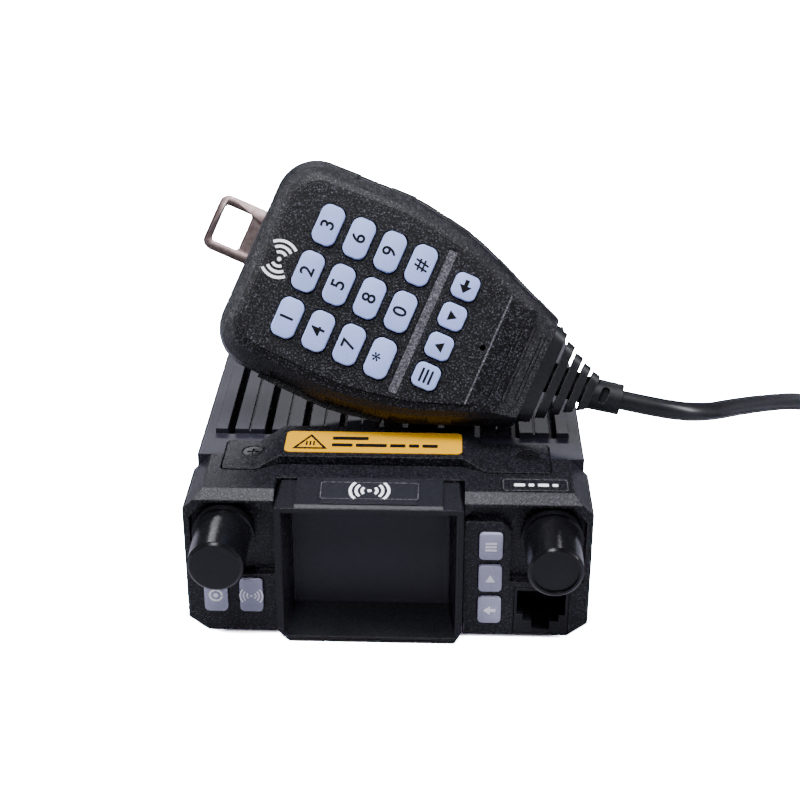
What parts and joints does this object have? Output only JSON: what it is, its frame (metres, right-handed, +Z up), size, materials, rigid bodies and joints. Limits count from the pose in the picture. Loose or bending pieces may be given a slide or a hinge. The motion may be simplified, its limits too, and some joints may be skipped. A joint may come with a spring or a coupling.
{
  "type": "mobile transceiver",
  "caption": "Compact two-way radio with heat sink top, display, knobs and buttons, and a keypad hand microphone lying on it with its curly cord and plug.",
  "frame": {"origin": "middle of the radio's underside, on the surface it stands on", "axes": "+Z up, +Y to the radio's rear (fan and antenna), +X to the right when facing the front panel"},
  "size_m": [0.2939, 0.1552, 0.1033],
  "materials": {
    "heatsink": "dark blue-grey baked enamel, satin",
    "panel": "moulded, fine speckle",
    "bezel": "smooth moulded",
    "window": "clear, smoked",
    "lcd": "flat grey screen",
    "board": "green laminate",
    "module": "cast lid",
    "black_screw": "black zinc",
    "badge": "printed film",
    "strip": "moulded, fine speckle",
    "yellow_label": "printed film",
    "socket_plastic": "moulded",
    "pot_metal": "plated can",
    "speaker_cone": "paper cone in a steel frame",
    "fan_plastic": "moulded",
    "nickel": "nickel plate",
    "gland_rubber": "moulded",
    "knob": "moulded, glossy facets",
    "shaft_metal": "turned",
    "button": "lavender-grey, printed legend",
    "handset_plastic": "leather grain",
    "hanger_steel": "bronze-toned plate",
    "key": "periwinkle, printed digits",
    "ptt_plastic": "moulded, grip ribs",
    "boot_rubber": "moulded",
    "cord_jacket": "smooth extruded jacket",
    "plug_plastic": "moulded",
    "capsule_metal": "drawn can"
  },
  "bodies": {
    "radio": {"chassis_heatsink": "heatsink", "bottom_cover": "heatsink", "case_screws": "black_screw", "front_panel": "panel", "display_bezel": "bezel", "display_window": "window", "lcd_module": "lcd", "front_pcb": "board", "nameplate": "badge", "top_strip": "strip", "strip_screws": "black_screw", "hot_surface_label": "yellow_label", "mic_jack": "socket_plastic", "volume_pot": "pot_metal", "encoder_body": "pot_metal", "main_pcb": "board", "rf_power_module": "module", "speaker": "speaker_cone", "fan_frame": "fan_plastic", "antenna_socket": "nickel", "power_gland": "gland_rubber", "speaker_jack": "socket_plastic"},
    "volume_knob": {"volume_knob": "knob", "volume_shaft": "shaft_metal"},
    "encoder_push": {"encoder_shaft": "shaft_metal"},
    "channel_knob": {"channel_knob": "knob"},
    "fan": {"fan_rotor": "fan_plastic"},
    "handset": {"handset_front_shell": "handset_plastic", "handset_rear_shell": "handset_plastic", "handset_screws": "black_screw", "handset_pcb": "board", "mic_capsule": "capsule_metal", "handset_hanger": "hanger_steel", "cable_boot": "boot_rubber", "cord_lead": "cord_jacket", "cord_curl": "cord_jacket", "cord_tail": "cord_jacket", "mic_plug": "plug_plastic"},
    "ptt": {"ptt_bar": "ptt_plastic"},
    "button_monitor": {"button_monitor": "button"},
    "button_radio": {"button_radio": "button"},
    "button_memory": {"button_memory": "button"},
    "button_call": {"button_call": "button"},
    "button_exit": {"button_exit": "button"},
    "key_1": {"key_1": "key"},
    "key_2": {"key_2": "key"},
    "key_3": {"key_3": "key"},
    "key_4": {"key_4": "key"},
    "key_5": {"key_5": "key"},
    "key_6": {"key_6": "key"},
    "key_7": {"key_7": "key"},
    "key_8": {"key_8": "key"},
    "key_9": {"key_9": "key"},
    "key_star": {"key_star": "key"},
    "key_0": {"key_0": "key"},
    "key_hash": {"key_hash": "key"},
    "key_menu": {"key_menu": "key"},
    "key_up": {"key_up": "key"},
    "key_down": {"key_down": "key"},
    "key_back": {"key_back": "key"}
  },
  "joints": [
    {"name": "volume_turn", "type": "hinge", "parent": "radio", "child": "volume_knob", "pos_m": [-0.0393, -0.051, 0.0288], "axis": [0, 1, 0], "range_deg": [-150, 150]},
    {"name": "channel_push", "type": "slide", "parent": "radio", "child": "encoder_push", "axis": [0, 1, 0], "range_m": [0, 0.0005], "stiffness_N_per_m": 800},
    {"name": "channel_turn", "type": "hinge", "parent": "encoder_push", "child": "channel_knob", "pos_m": [0.0393, -0.051, 0.0288], "axis": [0, 1, 0], "continuous": true},
    {"name": "button_monitor_press", "type": "slide", "parent": "radio", "child": "button_monitor", "axis": [0, 1, 0], "range_m": [0, 0.0006], "stiffness_N_per_m": 600},
    {"name": "button_radio_press", "type": "slide", "parent": "radio", "child": "button_radio", "axis": [0, 1, 0], "range_m": [0, 0.0006], "stiffness_N_per_m": 600},
    {"name": "button_memory_press", "type": "slide", "parent": "radio", "child": "button_memory", "axis": [0, 1, 0], "range_m": [0, 0.0006], "stiffness_N_per_m": 600},
    {"name": "button_call_press", "type": "slide", "parent": "radio", "child": "button_call", "axis": [0, 1, 0], "range_m": [0, 0.0006], "stiffness_N_per_m": 600},
    {"name": "button_exit_press", "type": "slide", "parent": "radio", "child": "button_exit", "axis": [0, 1, 0], "range_m": [0, 0.0006], "stiffness_N_per_m": 600},
    {"name": "fan_spin", "type": "hinge", "parent": "radio", "child": "fan", "pos_m": [0.024, 0.0435, 0.0149], "axis": [0, 1, 0], "continuous": true},
    {"name": "handset_lift", "type": "slide", "parent": "radio", "child": "handset", "axis": [0, 0, 1], "range_m": [0, 0.06]},
    {"name": "ptt_press", "type": "slide", "parent": "handset", "child": "ptt", "axis": [0.3903, 0.419, 0.8199], "range_m": [0, 0.0012], "stiffness_N_per_m": 500},
    {"name": "key_1_press", "type": "slide", "parent": "handset", "child": "key_1", "axis": [0.0337, 0.8834, -0.4675], "range_m": [0, 0.001], "stiffness_N_per_m": 250},
    {"name": "key_2_press", "type": "slide", "parent": "handset", "child": "key_2", "axis": [0.0337, 0.8834, -0.4675], "range_m": [0, 0.001], "stiffness_N_per_m": 250},
    {"name": "key_3_press", "type": "slide", "parent": "handset", "child": "key_3", "axis": [0.0337, 0.8834, -0.4675], "range_m": [0, 0.001], "stiffness_N_per_m": 250},
    {"name": "key_4_press", "type": "slide", "parent": "handset", "child": "key_4", "axis": [0.0337, 0.8834, -0.4675], "range_m": [0, 0.001], "stiffness_N_per_m": 250},
    {"name": "key_5_press", "type": "slide", "parent": "handset", "child": "key_5", "axis": [0.0337, 0.8834, -0.4675], "range_m": [0, 0.001], "stiffness_N_per_m": 250},
    {"name": "key_6_press", "type": "slide", "parent": "handset", "child": "key_6", "axis": [0.0337, 0.8834, -0.4675], "range_m": [0, 0.001], "stiffness_N_per_m": 250},
    {"name": "key_7_press", "type": "slide", "parent": "handset", "child": "key_7", "axis": [0.0337, 0.8834, -0.4675], "range_m": [0, 0.001], "stiffness_N_per_m": 250},
    {"name": "key_8_press", "type": "slide", "parent": "handset", "child": "key_8", "axis": [0.0337, 0.8834, -0.4675], "range_m": [0, 0.001], "stiffness_N_per_m": 250},
    {"name": "key_9_press", "type": "slide", "parent": "handset", "child": "key_9", "axis": [0.0337, 0.8834, -0.4675], "range_m": [0, 0.001], "stiffness_N_per_m": 250},
    {"name": "key_star_press", "type": "slide", "parent": "handset", "child": "key_star", "axis": [0.0337, 0.8834, -0.4675], "range_m": [0, 0.001], "stiffness_N_per_m": 250},
    {"name": "key_0_press", "type": "slide", "parent": "handset", "child": "key_0", "axis": [0.0337, 0.8834, -0.4675], "range_m": [0, 0.001], "stiffness_N_per_m": 250},
    {"name": "key_hash_press", "type": "slide", "parent": "handset", "child": "key_hash", "axis": [0.0337, 0.8834, -0.4675], "range_m": [0, 0.001], "stiffness_N_per_m": 250},
    {"name": "key_menu_press", "type": "slide", "parent": "handset", "child": "key_menu", "axis": [0.0337, 0.8834, -0.4675], "range_m": [0, 0.001], "stiffness_N_per_m": 250},
    {"name": "key_up_press", "type": "slide", "parent": "handset", "child": "key_up", "axis": [0.0337, 0.8834, -0.4675], "range_m": [0, 0.001], "stiffness_N_per_m": 250},
    {"name": "key_down_press", "type": "slide", "parent": "handset", "child": "key_down", "axis": [0.0337, 0.8834, -0.4675], "range_m": [0, 0.001], "stiffness_N_per_m": 250},
    {"name": "key_back_press", "type": "slide", "parent": "handset", "child": "key_back", "axis": [0.0337, 0.8834, -0.4675], "range_m": [0, 0.001], "stiffness_N_per_m": 250}
  ]
}
